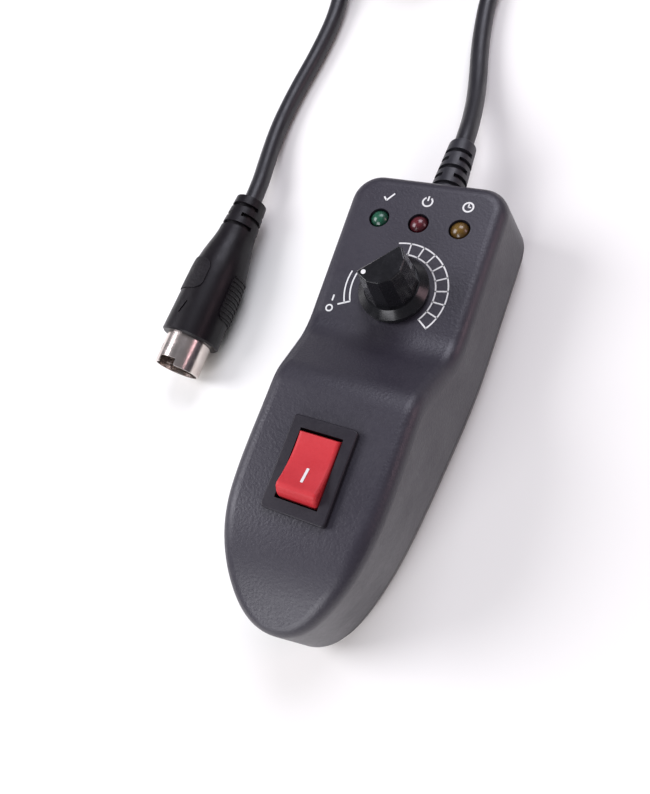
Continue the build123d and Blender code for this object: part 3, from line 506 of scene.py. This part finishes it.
chipLook = {**satinLook, "colour": (0.010, 0.010, 0.010), "grain": 0.00015}
sleeveLook = {**glossLook, "colour": (0.015, 0.035, 0.16), "second": (0.02, 0.05, 0.22), "worn": (0.2, 0.25, 0.4)}
phenolicLook = {**satinLook, "colour": (0.24, 0.13, 0.055), "second": (0.31, 0.18, 0.08),
                "worn": (0.42, 0.28, 0.15), "blotch": 0.002}
wireLook = {**glossLook, "colour": (0.34, 0.012, 0.012), "second": (0.42, 0.02, 0.02), "worn": (0.5, 0.1, 0.1),
            "roughLow": 0.28, "roughHigh": 0.4}
paint(boardMask(boardLook), "circuit_board")
paint(resistorBands(resistorLook), "resistors")
paint(mouldedPlastic("chip_epoxy", chipLook), "timer_chip")
paint(mouldedPlastic("capacitor_sleeve", sleeveLook), "capacitor")
paint(mouldedPlastic("phenolic_board", phenolicLook), "pot_track", "pot_wiper")
paint(mouldedPlastic("wire_sleeve", wireLook), "switch_wires", "pot_wires", "cord_wires")
print("inner parts done")


# Printed marks: thin ink shapes made of bars and arcs.

inkHeight = 0.00003                                    # how far the ink stands proud
inkStep = 3                                            # degrees of an arc in one segment
panelTop = Vector(frame["joints"][0]["pos_m"])         # the knob's axis where it meets the panel


def inkBar(middle, length, width, turn, height):
    bpy.ops.object.select_all(action="DESELECT")
    bpy.ops.mesh.primitive_plane_add(size=1, location=(*middle, height), rotation=(0, 0, math.radians(turn)))
    bar = bpy.context.object
    bar.scale = (length, width, 1)
    applyPlace(bar)
    bpy.ops.object.mode_set(mode="EDIT")
    bpy.ops.mesh.select_all(action="SELECT")
    bpy.ops.mesh.bevel(offset=width * 0.25, segments=2, affect="VERTICES")
    bpy.ops.object.mode_set(mode="OBJECT")
    return bar


def inkArc(middle, inner, outer, start, sweep, height):
    # one radial edge at the start, spun round the middle
    bpy.ops.object.select_all(action="DESELECT")
    bpy.ops.mesh.primitive_plane_add(size=1, location=((inner + outer) / 2, 0.0, 0.0))
    arc = bpy.context.object
    arc.scale = (outer - inner, 0.0001, 1)
    applyPlace(arc)
    bpy.ops.object.mode_set(mode="EDIT")
    bpy.ops.mesh.select_all(action="DESELECT")
    bpy.ops.object.mode_set(mode="OBJECT")
    for vertex in arc.data.vertices:
        vertex.select = vertex.co.y > 0
    bpy.ops.object.mode_set(mode="EDIT")
    bpy.ops.mesh.delete(type="VERT")
    bpy.ops.mesh.select_all(action="SELECT")
    bpy.ops.mesh.spin(steps=max(8, round(abs(sweep) / inkStep)), angle=-math.radians(sweep),
                      center=(0, 0, 0), axis=(0, 0, 1))
    bpy.ops.mesh.select_all(action="SELECT")
    bpy.ops.mesh.remove_doubles(threshold=0.000002)
    bpy.ops.object.mode_set(mode="OBJECT")
    arc.rotation_euler.z = math.radians(start)
    arc.location = (*middle, height)
    applyPlace(arc)
    return arc


def closeInk(name, pieces, material, body):
    piece = joinPieces(name, pieces)
    addModifier(piece, "SOLIDIFY", thickness=inkHeight, offset=0.0)
    select(piece)
    bpy.ops.object.mode_set(mode="EDIT")
    bpy.ops.mesh.select_all(action="SELECT")
    bpy.ops.mesh.normals_make_consistent(inside=False)
    bpy.ops.object.mode_set(mode="OBJECT")
    piece.data.materials.clear()
    piece.data.materials.append(material)
    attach(piece, body)
    return piece


def atPanel(x, y):
    return (panelTop.x + x, panelTop.y + y)


def aroundKnob(radius, angle):
    return atPanel(radius * math.cos(math.radians(angle)), radius * math.sin(math.radians(angle)))


dialScale = {
    "line": 0.00036, "outer": 0.01265, "inner": 0.0097,
    "from": 104.0, "to": -36.8,                        # degrees, from +X
    "ticks": 9, "firstTick": 89.5,
    "startInner": 0.0112, "startFrom": 166.0, "startTo": 205.3,
    "endRadius": 0.01275, "endLength": 0.0033, "endLine": 0.00042,
}
inkLevel = panelTop.z + inkHeight / 2


def scaleArcs(radii, first, last):
    half = dialScale["line"] / 2
    return [inkArc((panelTop.x, panelTop.y), radius - half, radius + half, first, last - first, inkLevel)
            for radius in radii]


scaleParts = scaleArcs((dialScale["outer"], dialScale["inner"]), dialScale["from"], dialScale["to"])
tickStep = (dialScale["firstTick"] - dialScale["to"]) / (dialScale["ticks"] - 1)
tickLength = dialScale["outer"] - dialScale["inner"] + dialScale["line"] * 0.9
for number in range(dialScale["ticks"]):
    angle = dialScale["firstTick"] - tickStep * number
    middle = aroundKnob((dialScale["outer"] + dialScale["inner"]) / 2, angle)
    scaleParts.append(inkBar(middle, tickLength, dialScale["line"], angle, inkLevel))
closeInk("dial_scale", scaleParts, whiteInk, "handset")

startParts = scaleArcs((dialScale["outer"], dialScale["startInner"]),
                       dialScale["startFrom"], dialScale["startTo"])
startParts.append(inkBar(aroundKnob(dialScale["endRadius"], dialScale["startTo"]), dialScale["endLength"],
                         dialScale["endLine"], dialScale["startTo"], inkLevel))
closeInk("dial_start", startParts, whiteInk, "handset")
print("dial printed")

# Signs over the lamps and beside the start of the scale. Places are metres from the knob's axis; a bar is
# its middle from the sign's place, its length and its turn; a ring is its two radii, start and sweep.

signs = {
    "line": 0.00042,
    "sign_ready": {"place": (-0.0095, 0.0243),
                   "bars": [(0.0003, 0, 0.0027, 52), (-0.00095, -0.00055, 0.0013, -48)]},
    "sign_power": {"place": (0.0005, 0.0243), "ring": (0.00099, 0.00141, 122, 296),
                   "bars": [(0, 0.0009, 0.00132, 90)]},
    "sign_timer": {"place": (0.0107, 0.0243), "ring": (0.00099, 0.00141, 0, 360), "thin": 0.8,
                   "bars": [(0, 0.00042, 0.00096, 90), (0.0003, 0, 0.00072, 0)]},
    "sign_on": {"place": (-0.0147, -0.0047), "bars": [(0, 0, 0.0016, 90)]},
    "sign_off": {"place": (-0.0148, -0.0075), "ring": (0.0006, 0.00098, 0, 360)},
}


def printSign(name, sign):
    x, y = sign["place"]
    width = signs["line"] * sign.get("thin", 1)
    pieces = []
    if "ring" in sign:
        pieces.append(inkArc(atPanel(x, y), *sign["ring"], inkLevel))
    for right, up, length, turn in sign.get("bars", []):
        pieces.append(inkBar(atPanel(x + right, y + up), length, width, turn, inkLevel))
    closeInk(name, pieces, whiteInk, "handset")


for name in ("sign_ready", "sign_power", "sign_timer", "sign_on", "sign_off"):
    printSign(name, signs[name])
print("signs printed")


# Ink bar on the rocker, let down on its face from above.

rockerMark = {"place": (0.0004, -0.0223), "length": 0.0032, "line": 0.0006, "above": 0.05}
rockerBar = inkBar(rockerMark["place"], rockerMark["length"], rockerMark["line"], 90, rockerMark["above"])
addModifier(rockerBar, "SHRINKWRAP", target=cadNodes["rocker_button"], wrap_method="PROJECT", use_project_z=True,
            use_negative_direction=True, use_positive_direction=False, offset=inkHeight)
closeInk("rocker_bar", [rockerBar], whiteInk, "rocker")


# Raised grips on the plug: an oval one and a ribbed one, and an arrow over the key. Places are metres along
# the plug from its mouth and degrees about its axis, from +X towards +Z.

plugGrips = {
    "mouth": (-0.0622, -0.0031, 0.0089), "turn": (-1.594, 0, -1.693),
    "radius": 0.0090, "mesh": 0.0002, "proud": 0.00030, "ribProud": 0.00055, "ribPitch": 0.0014,
    "oval": {"along": 0.0278, "halfLength": 0.0054, "around": 138, "halfWidth": 62, "power": 4},
    "ribbed": {"along": 0.0248, "halfLength": 0.0074, "around": -21, "halfWidth": 47, "power": 6},
    "arrow": {"along": 0.0163, "halfLength": 0.0023, "around": 101, "halfWidth": 9, "power": 0},
}


def insideGrip(grip, far, wide, place, ribs):
    if ribs and (place / plugGrips["ribPitch"]) % 1 > 0.5:
        return False
    if grip["power"] == 0:                             # triangle with its tip towards the mouth
        return abs(wide) <= (1 + far) / 2
    return abs(far) ** grip["power"] + abs(wide) ** grip["power"] <= 1


def gripSheet(grip, proud, ribs=False):
    # an edge along the plug, spun round its axis, cut to the outline and laid on the moulding
    bpy.ops.object.select_all(action="DESELECT")
    bpy.ops.mesh.primitive_plane_add(size=2, location=(plugGrips["radius"], grip["along"], 0))
    sheet = bpy.context.object
    sheet.scale = (0.0001, grip["halfLength"], 1)
    applyPlace(sheet)
    bpy.ops.object.mode_set(mode="EDIT")
    bpy.ops.mesh.select_all(action="DESELECT")
    bpy.ops.object.mode_set(mode="OBJECT")
    for vertex in sheet.data.vertices:
        vertex.select = vertex.co.x < plugGrips["radius"]
    bpy.ops.object.mode_set(mode="EDIT")
    bpy.ops.mesh.delete(type="VERT")
    bpy.ops.mesh.select_all(action="SELECT")
    bpy.ops.mesh.subdivide(number_cuts=round(2 * grip["halfLength"] / plugGrips["mesh"]))
    sweep = math.radians(2 * grip["halfWidth"])
    bpy.ops.mesh.select_all(action="SELECT")
    bpy.ops.mesh.spin(steps=round(sweep * plugGrips["radius"] / plugGrips["mesh"]), angle=-sweep,
                      center=(0, 0, 0), axis=(0, -1, 0))
    bpy.ops.mesh.select_all(action="DESELECT")
    bpy.ops.object.mode_set(mode="OBJECT")
    for vertex in sheet.data.vertices:
        far = (vertex.co.y - grip["along"]) / grip["halfLength"]
        wide = math.atan2(vertex.co.z, vertex.co.x) / (sweep / 2) - 1
        vertex.select = not insideGrip(grip, far, wide, vertex.co.y, ribs)
    bpy.ops.object.mode_set(mode="EDIT")
    bpy.ops.mesh.delete(type="VERT")
    bpy.ops.object.mode_set(mode="OBJECT")
    sheet.rotation_euler.y = -math.radians(grip["around"] - grip["halfWidth"])
    applyPlace(sheet)
    sheet.rotation_euler = inRadians(plugGrips["turn"])
    sheet.location = plugGrips["mouth"]
    applyPlace(sheet)
    addModifier(sheet, "SHRINKWRAP", target=cadNodes["plug_body"], wrap_method="NEAREST_SURFACEPOINT")
    addModifier(sheet, "SOLIDIFY", thickness=2 * proud, offset=0.0)
    return sheet


grips = joinPieces("plug_grips", [
    gripSheet(plugGrips["oval"], plugGrips["proud"]),
    gripSheet(plugGrips["ribbed"], plugGrips["proud"]),
    gripSheet(plugGrips["ribbed"], plugGrips["ribProud"], ribs=True),
    gripSheet(plugGrips["arrow"], plugGrips["proud"]),
])
bpy.ops.object.mode_set(mode="EDIT")
bpy.ops.mesh.select_all(action="SELECT")
bpy.ops.mesh.normals_make_consistent(inside=False)
bpy.ops.object.mode_set(mode="OBJECT")
bpy.ops.object.shade_smooth_by_angle(angle=math.radians(40))
grips.data.materials.clear()
gripLook = {**plugLook, "grain": 0.00075, "depth": 0.00010, "roughLow": 0.42, "roughHigh": 0.55}
grips.data.materials.append(mouldedPlastic("grip_rubber", gripLook))
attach(grips, "handset")
print("plug grips laid on")


# Floor and light

stageLook = {
    "floor": (0.94, 0.93, 0.885), "size": 6.0,
    "gap": 0.00005,                                    # floor under the lowest point
    "sky": (0.92, 0.93, 1.0, 1), "skyStrength": 0.20,
}
bpy.ops.object.select_all(action="DESELECT")
bpy.ops.mesh.primitive_plane_add(size=stageLook["size"], location=(0, 0, cadBox[0].z - stageLook["gap"]))
floor = bpy.context.object
floor.name = "floor"
floorFinish = Finish("floor_paper")
darker = [part * 0.985 for part in stageLook["floor"]]
floorTone = floorFinish.blend(floorFinish.noise(0.15, 2), stageLook["floor"], darker)
floor.data.materials.append(floorFinish.surface(floorTone, 0.85))
applyPlace(floor)

lights = {                                             # place, what it points at, size, power, colour
    "key_light": ((-0.70, -0.10, 0.62), (0, 0.02, 0.0), 0.60, 6.5, (0.94, 0.93, 1.0)),
    "top_light": ((0.08, 0.78, 0.88), (0.0, 0.05, 0.0), 0.75, 7.5, (0.88, 0.88, 1.0)),
    "front_light": ((-0.10, -0.75, 0.46), (0, -0.02, 0.0), 0.55, 4.6, (0.95, 0.95, 1.0)),
    "side_light": ((0.62, 0.25, 0.30), (0, 0.0, 0.02), 0.30, 0.8, (1.0, 0.66, 0.74)),
}
for name, (place, target, size, power, colour) in lights.items():
    aim = (Vector(place) - Vector(target)).to_track_quat("Z", "Y").to_euler()
    bpy.ops.object.light_add(type="AREA", location=place, rotation=aim)
    light = bpy.context.object
    light.name = name
    light.data.shape = "DISK"
    light.data.size = size
    light.data.energy = power
    light.data.color = colour

scene.world = bpy.data.worlds.new("studio")
scene.world.use_nodes = True
background = scene.world.node_tree.nodes["Background"]
background.inputs["Color"].default_value = stageLook["sky"]
background.inputs["Strength"].default_value = stageLook["skyStrength"]
scene.view_settings.view_transform = "Standard"
print("stage lit")
